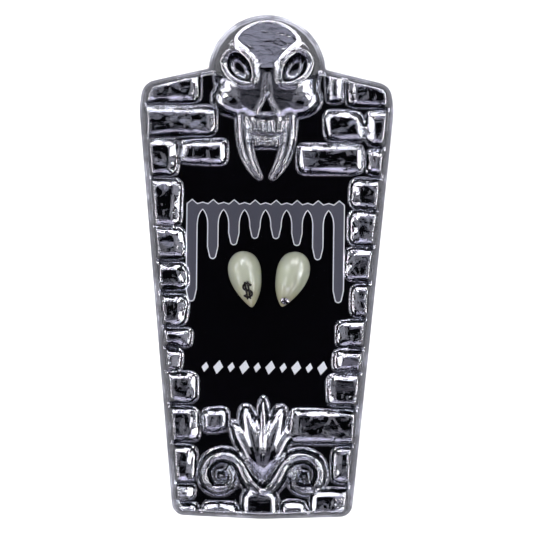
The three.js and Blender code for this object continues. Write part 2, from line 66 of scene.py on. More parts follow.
def editWhere(obj, kind, test):                  # into edit mode with what passes the test selected
    pick(obj)
    bpy.ops.object.mode_set(mode="EDIT")
    bpy.ops.mesh.select_mode(type={"faces": "FACE", "edges": "EDGE", "verts": "VERT"}[kind])
    bpy.ops.mesh.select_all(action="DESELECT")
    mesh = bmesh.from_edit_mesh(obj.data)
    for item in getattr(mesh, kind):
        item.select_set(test(item))
    mesh.select_flush_mode()
    bmesh.update_edit_mesh(obj.data)


def leaveEdit():
    bpy.ops.object.mode_set(mode="OBJECT")


def joinAll(name, parts):
    pick(parts[0])
    for part in parts[1:]:
        part.select_set(True)
    bpy.ops.object.join()
    return named(name)


def applyModifier(obj, kind, **settings):
    pick(obj)
    modifier = obj.modifiers.new(kind.title(), kind)
    for key, value in settings.items():
        setattr(modifier, key, value)
    bpy.ops.object.modifier_apply(modifier=modifier.name)
    return obj


def cut(obj, tool):
    applyModifier(obj, "BOOLEAN", object=tool, operation="DIFFERENCE", solver="EXACT", use_self=True)
    bpy.data.objects.remove(tool)
    return obj


def addEgg(name, centre, radii, turn=0, tilt=0, segments=32):
    bpy.ops.mesh.primitive_uv_sphere_add(
        segments=segments, ring_count=segments // 2, radius=mm, location=[c * mm for c in centre],
        rotation=(math.radians(tilt), 0, math.radians(turn)), scale=radii)
    return settle(named(name))


def addTube(name, points, halfWidths, squash=1.0, lift=0.0, sides=6, closed=False):
    bpy.ops.curve.primitive_nurbs_path_add()
    tube = named(name)
    path = tube.data
    path.splines.clear()
    spline = path.splines.new("NURBS")
    spline.points.add(len(points) - 1)
    for point, place, half in zip(spline.points, points, halfWidths):
        point.co = (place[0] * mm, place[1] * mm, (place[2] if len(place) > 2 else 0) * mm, 1)
        point.radius = half
    spline.use_endpoint_u = not closed
    spline.use_cyclic_u = closed
    spline.order_u = 4
    spline.resolution_u = 5
    path.bevel_depth = mm
    path.bevel_resolution = sides
    path.use_fill_caps = True
    pick(tube)
    bpy.ops.object.convert(target="MESH")
    tube.scale = (1, 1, squash)
    tube.location = (0, 0, lift * mm)
    return settle(tube)


def addBlock(name, low, high, lean=1.0, bevel=0.8, keepOuter=0, jitter=0.0, seed=0, segments=3):
    size = [b - a for a, b in zip(low, high)]
    middle = [(a + b) / 2 for a, b in zip(low, high)]
    bpy.ops.mesh.primitive_cube_add(size=mm, location=[m * mm for m in middle], scale=size)
    block = settle(named(name))
    editWhere(block, "faces", lambda f: f.normal.z > 0.9)
    hold = middle[0] if keepOuter == 0 else (high[0] if keepOuter > 0 else low[0])
    shrinkX = 1 - (2 if keepOuter == 0 else 1) * lean / size[0]
    bpy.ops.transform.resize(value=(shrinkX, 1 - 2 * lean / size[1], 1),
                             center_override=(hold * mm, middle[1] * mm, high[2] * mm))
    if jitter:
        bpy.ops.transform.vertex_random(offset=jitter * mm, uniform=0.4, seed=seed)
    leaveEdit()
    editWhere(block, "edges", lambda e: max(v.co.z for v in e.verts) > (high[2] - 1.5) * mm)
    bpy.ops.mesh.bevel(offset=bevel * mm, segments=segments, affect="EDGES", clamp_overlap=True)
    leaveEdit()
    return block


case = {
    "length": 151.5, "shoulderWidth": 76.4, "headNarrowing": 1.0, "footWidth": 53.6,
    "shoulderDrop": 28.8, "headCornerDrop": 21.0, "headEdgeRise": 8.5, "footBow": 1.0,
    "cornerRadius": 3.2, "softBend": 1.5, "skullRadius": 17.8,
    "bottom": 1.3, "skirtTop": 3.1, "pane": 13.5, "top": 20.0, "lean": 3.0, "groove": 0.8,
    "wall": 0.7, "voxel": 0.37, "triangles": 94000,
}
footY = -case["length"] / 2
skullY = footY + case["length"] - case["skullRadius"]
shoulderY = footY + case["length"] - case["shoulderDrop"]
headY = footY + case["length"] - case["headCornerDrop"]


def leanAt(z):
    return case["lean"] * (z - case["skirtTop"]) / (case["top"] - case["skirtTop"])


def wallAt(y):
    run = min((y - footY - case["footBow"]) / (shoulderY - footY - case["footBow"]), 1)
    return (case["footWidth"] + (case["shoulderWidth"] - case["footWidth"]) * run) / 2


def makeCoffin(name, inset, top):
    halfFoot, halfShoulder = case["footWidth"] / 2, case["shoulderWidth"] / 2
    right = [(halfFoot, footY + case["footBow"]), (halfShoulder, shoulderY),
             (halfShoulder - case["headNarrowing"], headY)]
    outline = [(0, footY), *right, (0, headY + case["headEdgeRise"]), *[(-x, y) for x, y in reversed(right)]]
    bpy.ops.mesh.primitive_circle_add(vertices=8, radius=mm, fill_type="NGON")
    body = named(name)
    order = sorted(body.data.vertices, key=lambda v: math.atan2(v.co.y, v.co.x))
    places = sorted(outline, key=lambda p: math.atan2(p[1], p[0]))
    for vertex, (x, y) in zip(order, places):
        vertex.co = (x * mm, y * mm, case["bottom"] * mm)
    sharp = [Vector((x * side * mm, y * mm, case["bottom"] * mm))
             for x, y in (right[0], right[2]) for side in (-1, 1)]
    isSharp = lambda v: any((v.co - corner).length < 0.5 * mm for corner in sharp)
    soft = [Vector((x * mm, y * mm, case["bottom"] * mm)) for x, y in outline]
    editWhere(body, "verts", isSharp)
    bpy.ops.mesh.bevel(offset=case["cornerRadius"] * mm, segments=5, affect="VERTICES")
    leaveEdit()
    editWhere(body, "verts", lambda v: any((v.co - p).length < 0.2 * mm for p in soft))
    bpy.ops.mesh.bevel(offset=case["softBend"] * mm, segments=3, affect="VERTICES")
    bpy.ops.mesh.select_all(action="SELECT")
    bpy.ops.mesh.normals_make_consistent(inside=False)
    if inset:
        bpy.ops.mesh.inset(thickness=inset * mm)
        bpy.ops.mesh.select_all(action="INVERT")
        bpy.ops.mesh.delete(type="FACE")
        bpy.ops.mesh.select_all(action="SELECT")
    skirt = case["skirtTop"] - case["bottom"]
    bpy.ops.mesh.extrude_region_move(TRANSFORM_OT_translate={"value": (0, 0, skirt * mm)})
    bpy.ops.mesh.inset(thickness=leanAt(top) * mm, depth=(top - case["skirtTop"]) * mm)
    bpy.ops.mesh.select_all(action="SELECT")
    bpy.ops.mesh.normals_make_consistent(inside=False)
    leaveEdit()
    return body


stones = {
    "width": 10.4, "rise": 5.6, "lean": 0.5, "footHeight": 10.0, "past": 5.7, "skew": 2.2, "grow": 0.32,
    "facet": 1.35, "facetDrop": 1.25, "innerFacet": 1.1,          # bevel's width and depth, wider by the window
    "bent": 0.75,                                                 # play of a stone's eight corners
    # side, lower end, upper end, width, rise: shares of the case's length, of width and of rise
    "sides": [
        (-1, 0.818, 0.905, 1.78, 0.95), (-1, 0.752, 0.811, 2.21, 0.90), (-1, 0.675, 0.745, 1.00, 1.00),
        (-1, 0.578, 0.668, 1.04, 0.94), (-1, 0.509, 0.571, 1.03, 0.86), (-1, 0.453, 0.502, 1.01, 0.92),
        (-1, 0.384, 0.446, 0.96, 1.00), (-1, 0.343, 0.377, 0.98, 0.82), (-1, 0.296, 0.336, 0.67, 0.90),
        (-1, 0.230, 0.289, 1.07, 0.96), (-1, 0.158, 0.223, 1.01, 0.88), (-1, 0.081, 0.151, 0.84, 0.94),
        (-1, 0.042, 0.074, 0.70, 0.84), (1, 0.811, 0.905, 1.40, 0.92), (1, 0.737, 0.804, 0.74, 1.00),
        (1, 0.682, 0.730, 0.66, 0.88), (1, 0.617, 0.675, 1.07, 0.95), (1, 0.543, 0.610, 1.02, 0.90),
        (1, 0.472, 0.536, 0.97, 1.00), (1, 0.403, 0.465, 0.69, 0.86), (1, 0.345, 0.396, 1.00, 0.94),
        (1, 0.297, 0.338, 1.03, 0.84), (1, 0.227, 0.290, 1.11, 0.98), (1, 0.154, 0.220, 2.07, 0.90),
        (1, 0.078, 0.147, 0.72, 0.96),
    ],
    # side, lower end, upper end, inner and outer edge as shares of half the shoulder width, rise
    "field": [
        (-1, 0.701, 0.745, 0.300, 0.665, 0.92), (1, 0.820, 0.903, 0.455, 0.590, 0.84),
        (1, 0.747, 0.804, 0.450, 0.755, 0.94), (1, 0.682, 0.740, 0.250, 0.755, 0.90),
        (-1, 0.176, 0.224, 0.270, 0.465, 0.80),
    ],
    # left and right edge as shares of half the foot width, height as a share of footHeight, rise
    "foot": [
        (-1.10, -0.70, 0.52, 0.84), (-0.67, -0.26, 0.56, 0.80), (-0.22, 0.18, 0.90, 0.84),
        (0.21, 0.50, 0.66, 0.78), (0.53, 1.10, 1.06, 0.82),
    ],
}


def addStone(outline, x0, x1, y0, y1, top, seed, inner=0):     # inner: the side that faces the window
    t = stones
    x0, x1, y0, y1 = x0 - t["grow"], x1 + t["grow"], y0 - t["grow"], y1 + t["grow"]
    low = case["skirtTop"]
    shoulder = top - t["facetDrop"]
    bpy.ops.mesh.primitive_cube_add(
        size=mm, location=((x0 + x1) / 2 * mm, (y0 + y1) / 2 * mm, (low + shoulder) / 2 * mm),
        scale=(x1 - x0, y1 - y0, shoulder - low))
    block = settle(named("stone"))
    short = min(x1 - x0, y1 - y0)
    editWhere(block, "faces", lambda f: True)
    bpy.ops.transform.vertex_random(offset=t["bent"] * mm, uniform=0.4, seed=seed + 100)
    leaveEdit()
    editWhere(block, "edges", lambda e: abs(e.verts[0].co.z - e.verts[1].co.z) > 4 * mm
              and (e.verts[0].co.x / mm - (x0 + x1) / 2) * inner >= 0)
    bpy.ops.mesh.bevel(offset=min(2.6, short * 0.3) * mm, segments=4, affect="EDGES")
    leaveEdit()
    editWhere(block, "faces", lambda f: f.normal.z > 0.9)
    bpy.ops.transform.resize(value=(1 - 2 * t["lean"] / (x1 - x0), 1 - 2 * t["lean"] / (y1 - y0), 1),
                             center_override=((x0 + x1) / 2 * mm, (y0 + y1) / 2 * mm, shoulder * mm))
    bpy.ops.mesh.inset(thickness=t["facet"] * mm, depth=t["facetDrop"] * mm)
    leaveEdit()
    if inner:                                         # the window's side slopes more gently
        edge = x1 if inner > 0 else x0
        editWhere(block, "verts", lambda v: v.co.z > (shoulder + 0.6) * mm and abs(v.co.x / mm - edge) < 3.6)
        bpy.ops.transform.translate(value=(-inner * t["innerFacet"] * mm, 0, 0))
        leaveEdit()
    pick(block)
    bpy.ops.object.origin_set(type="ORIGIN_CENTER_OF_VOLUME")
    block.rotation_euler = [math.radians(random.uniform(-1, 1) * t["skew"]) for axis in range(3)]
    settle(block)
    return applyModifier(block, "BOOLEAN", object=outline, operation="INTERSECT", solver="EXACT", use_self=True)


def makeStones():
    blocks = []
    outline = makeCoffin("outline", 0, case["top"])

    def lay(x0, x1, y0, y1, rise, inner=0):
        top = case["pane"] + stones["rise"] * rise
        blocks.append(addStone(outline, min(x0, x1), max(x0, x1), y0, y1, top, len(blocks), inner))

    for side, start, end, width, rise in stones["sides"]:
        y0, y1 = footY + start * case["length"], footY + end * case["length"]
        wall = wallAt((y0 + y1) / 2)
        lay(side * (wall - stones["width"] * width), side * (wall + stones["past"]), y0, y1, rise, -side)
    for side, start, end, inner, outer, rise in stones["field"]:
        half = side * case["shoulderWidth"] / 2
        lay(inner * half, outer * half, footY + start * case["length"], footY + end * case["length"], rise)
    for left, right, height, rise in stones["foot"]:
        half = case["footWidth"] / 2
        lay(left * half, right * half, footY - stones["past"], footY + stones["footHeight"] * height, rise)
    bpy.data.objects.remove(outline)
    return joinAll("border", blocks)


skull = {
    # radius and height of the crown's rings
    "rings": [(17.8, 1.3), (17.3, 5.0), (16.8, 9.4), (16.1, 12.8), (14.8, 15.6), (12.4, 17.9), (9.0, 19.3),
              (5.2, 20.1), (2.2, 20.4)],
    "cheek": {"x": 10.7, "y": -9.4, "radii": (6.0, 4.0, 5.15), "z": 12.9, "turn": 24},
    "muzzle": {"y": -8.9, "radii": (9.4, 10.0, 8.4), "z": 10.2},
    "jaw": {"width": 13.4, "top": 16.6, "from": -23.2, "to": -9.0},
    # sloping face below the brow; its plane drops towards the teeth
    "face": {"corners": [(17.0, 2.0), (17.0, -15.0), (-17.0, -15.0), (-17.0, 2.0)],
             "y": -2.0, "z": 19.6, "fall": -12},
    "socket": {"x": 8.1, "y": 0.6, "turn": 52, "rim": (5.9, 4.0), "thick": 1.05, "hole": (5.0, 3.1, 8.4)},
    # sunk forehead, corners from the skull's middle; its plane drops towards the head end
    "forehead": {"corners": [(0.0, -1.8), (12.6, 12.6), (9.0, 17.0), (-9.0, 17.0), (-12.6, 12.6)],
                 "y": 3.0, "z": 19.3, "fall": 19},
    # ridge of the cheek, as x and y from the skull's middle
    "cheekRidge": [(8.0, -12.2), (11.5, -11.6), (14.4, -9.6), (16.3, -6.2)],
    # x, y below the skull's middle, height, half width
    "bridge": [(0.0, -0.9, 19.6, 0.7), (0.0, -3.4, 18.9, 1.1), (0.0, -7.0, 17.8, 1.5)],
    "nose": {"y": -10.3, "half": 2.9, "length": 5.8, "rim": 0.6},
    # a row of small teeth: y of its middle, length, x of each tooth
    "teeth": {"half": 0.95, "top": 19.1, "curve": 0.05,
              "upper": (-16.9, 3.6, (-3.9, -1.3, 1.3, 3.9)), "lower": (-21.4, 2.9, (-2.6, 0.0, 2.6))},
    # line of a long tooth down from the cheek: x, y below the skull's middle, height, half width
    "longTooth": [(7.2, -10.5, 14.0, 1.6), (7.2, -14.5, 15.0, 1.9), (6.8, -19.0, 15.4, 2.15), (6.0, -23.5, 15.2, 2.0),
                  (4.7, -27.2, 14.8, 1.5), (3.1, -30.0, 14.4, 0.95), (1.7, -31.7, 14.0, 0.4)],
}


def crownHeight(x, y):
    reach = math.hypot(x, y)
    rings = skull["rings"]
    for (wide, low), (narrow, high) in zip(rings, rings[1:]):
        if reach >= narrow:
            return low + (high - low) * (wide - reach) / (wide - narrow)
    return rings[-1][1]


def onCrown(x, y, lift=0.0):
    return (x, skullY + y, crownHeight(x, y) + lift)


def addPrism(name, corners, low, high):
    bpy.ops.mesh.primitive_circle_add(vertices=len(corners), radius=mm, fill_type="NGON")
    prism = named(name)
    for vertex, (x, y) in zip(prism.data.vertices, corners):
        vertex.co = (x * mm, y * mm, low * mm)
    editWhere(prism, "faces", lambda f: True)
    bpy.ops.mesh.extrude_region_move(TRANSFORM_OT_translate={"value": (0, 0, (high - low) * mm)})
    bpy.ops.mesh.select_all(action="SELECT")
    bpy.ops.mesh.normals_make_consistent(inside=False)
    leaveEdit()
    return prism


def makeSkull():
    s = skull
    bpy.ops.mesh.primitive_circle_add(vertices=72, radius=s["rings"][0][0] * mm, fill_type="NGON",
                                      location=(0, skullY * mm, s["rings"][0][1] * mm))
    crown = settle(named("crown"))
    editWhere(crown, "faces", lambda f: True)
    for (radius, z), (nextRadius, nextZ) in zip(s["rings"], s["rings"][1:]):
        bpy.ops.mesh.extrude_region_move(TRANSFORM_OT_translate={"value": (0, 0, (nextZ - z) * mm)})
        k = nextRadius / radius
        bpy.ops.transform.resize(value=(k, k, 1), center_override=(0, skullY * mm, nextZ * mm))
    bpy.ops.mesh.select_all(action="SELECT")
    bpy.ops.mesh.normals_make_consistent(inside=False)
    leaveEdit()

    muzzle, cheek, jaw, teeth = s["muzzle"], s["cheek"], s["jaw"], s["teeth"]
    parts = [crown, addEgg("muzzle", (0, skullY + muzzle["y"], muzzle["z"]), muzzle["radii"])]
    for side in (-1, 1):
        parts.append(addEgg("cheekBone", (side * cheek["x"], skullY + cheek["y"], cheek["z"]),
                            cheek["radii"], side * cheek["turn"]))
    parts.append(addBlock("jaw", (-jaw["width"] / 2, skullY + jaw["from"], case["skirtTop"]),
                          (jaw["width"] / 2, skullY + jaw["to"], jaw["top"]), lean=2.0, bevel=2.4, segments=5))
    head = joinAll("skull", parts)
    applyModifier(head, "REMESH", mode="VOXEL", voxel_size=0.5 * mm)
    applyModifier(head, "SMOOTH", factor=0.5, iterations=10)

    socket, nose = s["socket"], s["nose"]
    for plane in (s["forehead"], s["face"]):
        slab = addPrism("slab", [(x, y - plane["y"]) for x, y in plane["corners"]], 0, 9)
        slab.rotation_euler = (math.radians(-plane["fall"]), 0, 0)
        slab.location = (0, (skullY + plane["y"]) * mm, plane["z"] * mm)
        cut(head, settle(slab))
    details = [head]
    for side in (-1, 1):
        middle = (side * socket["x"], socket["y"])
        cut(head, addEgg("socket", onCrown(*middle, 1.2), socket["hole"], side * socket["turn"]))
        turn = math.radians(socket["turn"])
        loop = []
        for k in range(16):
            along = socket["rim"][0] * math.cos(k * math.pi / 8)
            across = socket["rim"][1] * math.sin(k * math.pi / 8) * (1 + 0.16 * math.cos(k * math.pi / 8))
            x = middle[0] + side * (along * math.cos(turn) - across * math.sin(turn))
            y = middle[1] + along * math.sin(turn) + across * math.cos(turn)
            loop.append(onCrown(x, y, -0.15))
        details.append(addTube("socketRim", loop, [socket["thick"]] * 16, sides=5, closed=True))
        ridge = [(side * x, skullY + y, crownHeight(x, y) - 0.9) for x, y in s["cheekRidge"]]
        details.append(addTube("cheekRidge", ridge, [0.9] * 4, sides=4))
        line = s["longTooth"]
        details.append(addTube("longTooth", [(side * x, skullY + y, z) for x, y, z, _ in line],
                               [half for _, _, _, half in line], sides=5))
    line = s["bridge"]
    bridge = addTube("bridge", [(x, skullY + y, z) for x, y, z, _ in line], [half for _, _, _, half in line], sides=5)
    head = joinAll("skull", [head, bridge])
    details[0] = head
    applyModifier(head, "REMESH", mode="VOXEL", voxel_size=0.4 * mm)
    corners = [(0.12, 0.55), (-0.12, 0.55), (-1, -0.33), (-0.8, -0.45), (0.8, -0.45), (1, -0.33)]
    hole = [(x * nose["half"], skullY + nose["y"] + y * nose["length"]) for x, y in corners]
    cut(head, addPrism("noseHole", hole, 14.6, 24.0))
    rim = [(0, nose["length"] * 0.74), (nose["half"] * 0.62, nose["length"] * 0.05),
           (nose["half"] * 1.15, -nose["length"] * 0.42)]
    for side in (-1, 1):
        edge = [(side * x, skullY + nose["y"] + y, 18.0 + 0.09 * y - 0.05 * x * x) for x, y in rim]
        details.append(addTube("noseRim", edge, [nose["rim"]] * 3, sides=4))
    for start, length, pitches in (teeth["upper"], teeth["lower"]):
        for x in pitches:
            top = teeth["top"] - teeth["curve"] * x * x
            details.append(addBlock(
                "tooth", (x - teeth["half"], skullY + start - length / 2, 14.0),
                (x + teeth["half"], skullY + start + length / 2, top), lean=0.2, bevel=0.3))
    return joinAll("skull", details)


ornament = {
    "eye": (12.2, 13.8), "radius": 6.8, "band": 4.9, "rise": 6.0, "sink": 0.6, "steps": 36, "turns": 1.12,
    "shell": 23.0, "shellRise": 6.0, "pupil": 1.25,
    # lean from upright, reach and half width as shares of the shell, rise as a share of shellRise
    "ribs": [(-30, 0.80, 0.110, 0.86), (-15, 0.93, 0.155, 1.0), (0, 1.0, 0.085, 1.08), (15, 0.93, 0.155, 1.0),
             (30, 0.80, 0.110, 0.86)],
    "stud": {"x": 22.5, "y": 5.8, "z": 18.1, "radius": 1.75},
}


def makeOrnament():
    o = ornament
    parts = []
    eyeX, eyeY = o["eye"]
    for side in (-1, 1):
        points = [(0, footY + eyeY * 0.62), (side * eyeX * 0.28, footY + eyeY * 0.80)]
        widths = [o["band"] / 2] * 2
        for i in range(o["steps"] + 1):
            share = i / o["steps"]
            angle = math.pi * (0.95 - 2 * o["turns"] * share)
            radius = o["radius"] * (1 - 0.62 * share)
            points.append((side * (eyeX + radius * math.cos(angle)), footY + eyeY + radius * math.sin(angle)))
            widths.append(o["band"] / 2 * (1 - 0.50 * share))
        parts.append(addTube("volute", points, widths, squash=o["rise"] / (o["band"] / 2),
                             lift=case["pane"] - o["sink"]))
        parts.append(addEgg("pupil", (side * eyeX, footY + eyeY, case["pane"]), (o["pupil"], o["pupil"], 4.6)))
    for lean, reach, wide, rise in o["ribs"]:
        angle = math.radians(90 - lean)
        length = o["shell"] * reach
        middle = (length * 0.47 * math.cos(angle), footY + eyeY + length * 0.47 * math.sin(angle),
                  case["pane"] - o["sink"])
        parts.append(addEgg("shellRib", middle,
                            (length * 0.55, o["shell"] * wide, o["shellRise"] * rise), turn=90 - lean))
    stud = o["stud"]
    bpy.ops.mesh.primitive_torus_add(major_segments=40, minor_segments=10, major_radius=stud["radius"] * 0.78 * mm,
                                     minor_radius=0.55 * mm,
                                     location=(stud["x"] * mm, (footY + stud["y"]) * mm, (stud["z"] + 0.3) * mm))
    parts.append(settle(named("stud")))
    return joinAll("ornament", parts)


sheet = {
    "evenPasses": 2, "raisedPasses": 6, "scrollPasses": 4, "rippleScale": 4.2, "rippleDepth": 0.95,
    # where the sheet keeps its carving: half width and y range of the scrolls, the shell and the jaw
    "scrolls": (21.5, -70, -50), "shell": (11, -36), "jaw": (11, 24), "skullReach": 19, "studReach": 3.2,
    "raisedFrom": 1.0, "raisedOver": 2.5,
}


def makeCoverSheet():
    pane = makeCoffin("pane", case["groove"], case["pane"])
    form = joinAll("cover_sheet", [pane, makeStones(), makeSkull(), makeOrnament()])
    print("cover form joined:", len(form.data.polygons), "faces")
    applyModifier(form, "REMESH", mode="VOXEL", voxel_size=case["voxel"] * mm)
    print("cover form remeshed:", len(form.data.polygons), "faces")
    applyModifier(form, "SMOOTH", factor=0.5, iterations=sheet["evenPasses"])
    editWhere(form, "faces", lambda f: f.normal.z < -0.7 and f.calc_center_median().z < (case["bottom"] + 0.6) * mm)
    bpy.ops.mesh.delete(type="FACE")
    leaveEdit()
    raised = form.vertex_groups.new(name="raised")
    scrolls = form.vertex_groups.new(name="scrolls")
    scrollHalf, scrollLow, scrollHigh = sheet["scrolls"]
    shellHalf, shellTop = sheet["shell"]
    jawHalf, jawLow = sheet["jaw"]
    stud = ornament["stud"]
    for vertex in form.data.vertices:
        x, y, z = vertex.co / mm
        onScrolls = (abs(x) < scrollHalf and scrollLow < y < scrollHigh) or (abs(x) < shellHalf and y < shellTop)
        if onScrolls:
            scrolls.add([vertex.index], 1, "REPLACE")
        onSkull = math.hypot(x, y - skullY) < sheet["skullReach"] or (abs(x) < jawHalf and y > jawLow)
        onStud = math.hypot(x - stud["x"], y - footY - stud["y"]) < sheet["studReach"]
        smoothPart = onScrolls or onSkull or onStud
        weight = min(max((z - case["pane"] - sheet["raisedFrom"]) / sheet["raisedOver"], 0), 1)
        if weight and not smoothPart:
            raised.add([vertex.index], weight, "REPLACE")
    ripple = bpy.data.textures.new("ripple", "CLOUDS")
    ripple.noise_scale = sheet["rippleScale"] * mm
    ripple.noise_depth = 2
    applyModifier(form, "SMOOTH", factor=0.5, iterations=sheet["raisedPasses"], vertex_group="raised")
    applyModifier(form, "SMOOTH", factor=0.5, iterations=sheet["scrollPasses"], vertex_group="scrolls")
    applyModifier(form, "DISPLACE", texture=ripple, texture_coords="LOCAL", strength=sheet["rippleDepth"] * mm,
                  mid_level=0.5, vertex_group="raised")
    form.vertex_groups.clear()
    count = sum(len(p.vertices) - 2 for p in form.data.polygons)
    applyModifier(form, "DECIMATE", ratio=min(case["triangles"] / count, 1))
    applyModifier(form, "SOLIDIFY", thickness=case["wall"] * mm, offset=-1)
    pick(form)
    bpy.ops.object.shade_smooth()
    print("cover sheet:", sum(len(p.vertices) - 2 for p in form.data.polygons), "triangles")
    return form


fang = {
    "length": 17.0, "width": 10.1, "height": 8.2, "wall": 1.1, "lean": 2.5,
    "spread": 15.6, "shift": 1.5, "top": 80.4, "base": 3.5, "rightTurn": 5.0, "socketShare": 0.66,
    # share of the length, of half the width, of the height and of the lean
    "sections": [
        (0.000, 0.20, 0.30, -0.06), (0.045, 0.53, 0.60, -0.01), (0.114, 0.77, 0.80, 0.00), (0.200, 0.92, 0.93, 0.02),
        (0.300, 1.00, 1.00, 0.06), (0.410, 1.00, 1.00, 0.13), (0.524, 0.95, 0.93, 0.24), (0.650, 0.84, 0.80, 0.43),
        (0.792, 0.61, 0.60, 0.65), (0.915, 0.33, 0.38, 0.86), (1.000, 0.08, 0.18, 1.00),
    ],
}


def makeFangForm(name, shrink, reach):
    f = fang
    rows = [row for row in f["sections"] if row[0] <= reach]
    bpy.ops.mesh.primitive_circle_add(vertices=28, radius=mm, fill_type="NGON", rotation=(math.radians(90), 0, 0))
    form = settle(named(name))
    pick(form)
    bpy.ops.object.mode_set(mode="EDIT")
    bpy.ops.mesh.select_mode(type="FACE")
    bpy.ops.mesh.select_all(action="SELECT")
    size, place = (1, 1), (0, 0)
    for i, (along, half, tall, lean) in enumerate(rows):
        newSize = (max(f["width"] / 2 * half - shrink, 0.15), max(f["height"] * tall - shrink, 0.15))
        newPlace = (f["lean"] * lean, -f["length"] * along)
        move = ((newPlace[0] - place[0]) * mm, (newPlace[1] - place[1]) * mm, 0)
        if i:
            bpy.ops.mesh.extrude_region_move(TRANSFORM_OT_translate={"value": move})
        else:
            bpy.ops.transform.translate(value=move)
        bpy.ops.transform.resize(value=(newSize[0] / size[0], 1, newSize[1] / size[1]),
                                 center_override=(newPlace[0] * mm, newPlace[1] * mm, 0))
        size, place = newSize, newPlace
    bpy.ops.mesh.select_all(action="SELECT")
    bpy.ops.mesh.normals_make_consistent(inside=False)
    leaveEdit()
    applyModifier(form, "SUBSURF", levels=2, render_levels=2)
    return form


def makeFang(name, side):
    f = fang
    cap = makeFangForm(name, 0, 1)
    pick(cap)
    bpy.ops.object.mode_set(mode="EDIT")
    bpy.ops.mesh.select_all(action="SELECT")
    bpy.ops.mesh.bisect(plane_co=(0, 0, 0), plane_no=(0, 0, 1), use_fill=True, clear_inner=True)
    leaveEdit()
    cut(cap, makeFangForm("hollow", f["wall"], f["socketShare"]))
    bpy.ops.mesh.primitive_cylinder_add(vertices=40, radius=f["height"] * 0.3 * mm, depth=f["length"] * 0.3 * mm,
                                        location=(0, -f["length"] * 0.06 * mm, 0), rotation=(math.radians(90), 0, 0))
    cut(cap, settle(named("gumNotch")))
    applyModifier(cap, "BEVEL", width=0.25 * mm, segments=3, limit_method="ANGLE", angle_limit=math.radians(50))
    pick(cap)
    if side > 0:
        cap.scale = (-1, 1, 1)
        settle(cap)
        cap.rotation_euler = (0, 0, math.radians(-f["rightTurn"]))
    cap.location = ((side * f["spread"] / 2 + f["shift"]) * mm, (footY + f["top"]) * mm, f["base"] * mm)
    settle(cap)
    editWhere(cap, "faces", lambda face: True)
    bpy.ops.mesh.normals_make_consistent(inside=False)
    leaveEdit()
    pick(cap)
    bpy.ops.object.shade_smooth_by_angle(angle=math.radians(40))
    return cap


charm = {"place": (-5.05, -7.15), "height": 5.1, "stroke": 0.30, "turn": 10.0, "gap": 0.42}


def makeCharm(host):
    c = charm
    bowl = c["height"] * 0.205
    letter = [(bowl * 1.15 * math.cos(a), bowl * (1 + math.sin(a)))
              for a in (math.radians(15 + 255 * k / 12) for k in range(13))]
    letter += [(bowl * 1.15 * math.cos(a), bowl * (-1 + math.sin(a)))
               for a in (math.radians(90 - 255 * k / 12) for k in range(1, 13))]
    bars = [[(x, c["height"] * (k / 8 - 0.5)) for k in range(9)] for x in (-0.42, 0.42)]
    turn = math.radians(c["turn"])
    parts = []
    for points in (letter, *bars):
        onTop = []
        for x, y in points:
            placeX = c["place"][0] + x * math.cos(turn) - y * math.sin(turn)
            placeY = c["place"][1] + x * math.sin(turn) + y * math.cos(turn)
            hit, spot, _, _ = host.ray_cast(Vector((placeX * mm, placeY * mm, 0.03)), Vector((0, 0, -1)))
            onTop.append((placeX, placeY, spot.z / mm + c["gap"]))
        ends = len(onTop) - 1
        widths = [c["stroke"] * (1.45 if points is letter and k in (0, ends) else 1.0) for k in range(ends + 1)]
        parts.append(addTube("stroke", onTop, widths, sides=3))
    sign = joinAll("dollar_sign", parts)
    pick(sign)
    bpy.ops.object.shade_smooth()
    return sign


cardPrint = {
    "z": 3.2, "thick": 0.03, "left": -22.0, "pitch": 6.3, "columnHalf": 1.55,
    "springing": 12.4, "archRise": 4.6, "top": 18.6, "line": 0.16,
    "feet": (-10.6, 2.2, 6.4, 8.4, 8.4, 6.4, 2.2, -10.6),      # lower end of each column
    "beads": {"count": 10, "pitch": 3.9, "y": -30.3, "halfWidth": 1.5, "halfHeight": 2.1, "slant": 0.45},
}


def addFlat(name, loops, thick, z):
    bpy.ops.curve.primitive_bezier_circle_add()
    flat = named(name)
    flat.data.splines.clear()
    for loop in loops:
        spline = flat.data.splines.new("POLY")
        spline.points.add(len(loop) - 1)
        for point, (x, y) in zip(spline.points, loop):
            point.co = (x * mm, y * mm, 0, 1)
        spline.use_cyclic_u = True
    flat.data.dimensions = "2D"
    flat.data.fill_mode = "BOTH"
    flat.data.extrude = thick / 2 * mm
    pick(flat)
    bpy.ops.object.convert(target="MESH")
    flat.location = (0, 0, (z + thick / 2) * mm)
    settle(flat)
    editWhere(flat, "faces", lambda face: True)
    bpy.ops.mesh.remove_doubles(threshold=0.002 * mm)
    bpy.ops.mesh.normals_make_consistent(inside=False)
    leaveEdit()
    return flat


def addLines(name, loops, half, z):
    bpy.ops.curve.primitive_bezier_circle_add()
    lines = named(name)
    lines.data.splines.clear()
    for loop in loops:
        spline = lines.data.splines.new("POLY")
        spline.points.add(len(loop) - 1)
        for point, (x, y) in zip(spline.points, loop):
            point.co = (x * mm, y * mm, 0, 1)
        spline.use_cyclic_u = True
    lines.data.dimensions = "3D"
    lines.data.bevel_depth = half * mm
    lines.data.bevel_resolution = 1
    pick(lines)
    bpy.ops.object.convert(target="MESH")
    lines.scale = (1, 1, 0.25)
    lines.location = (0, 0, z * mm)
    return settle(lines)


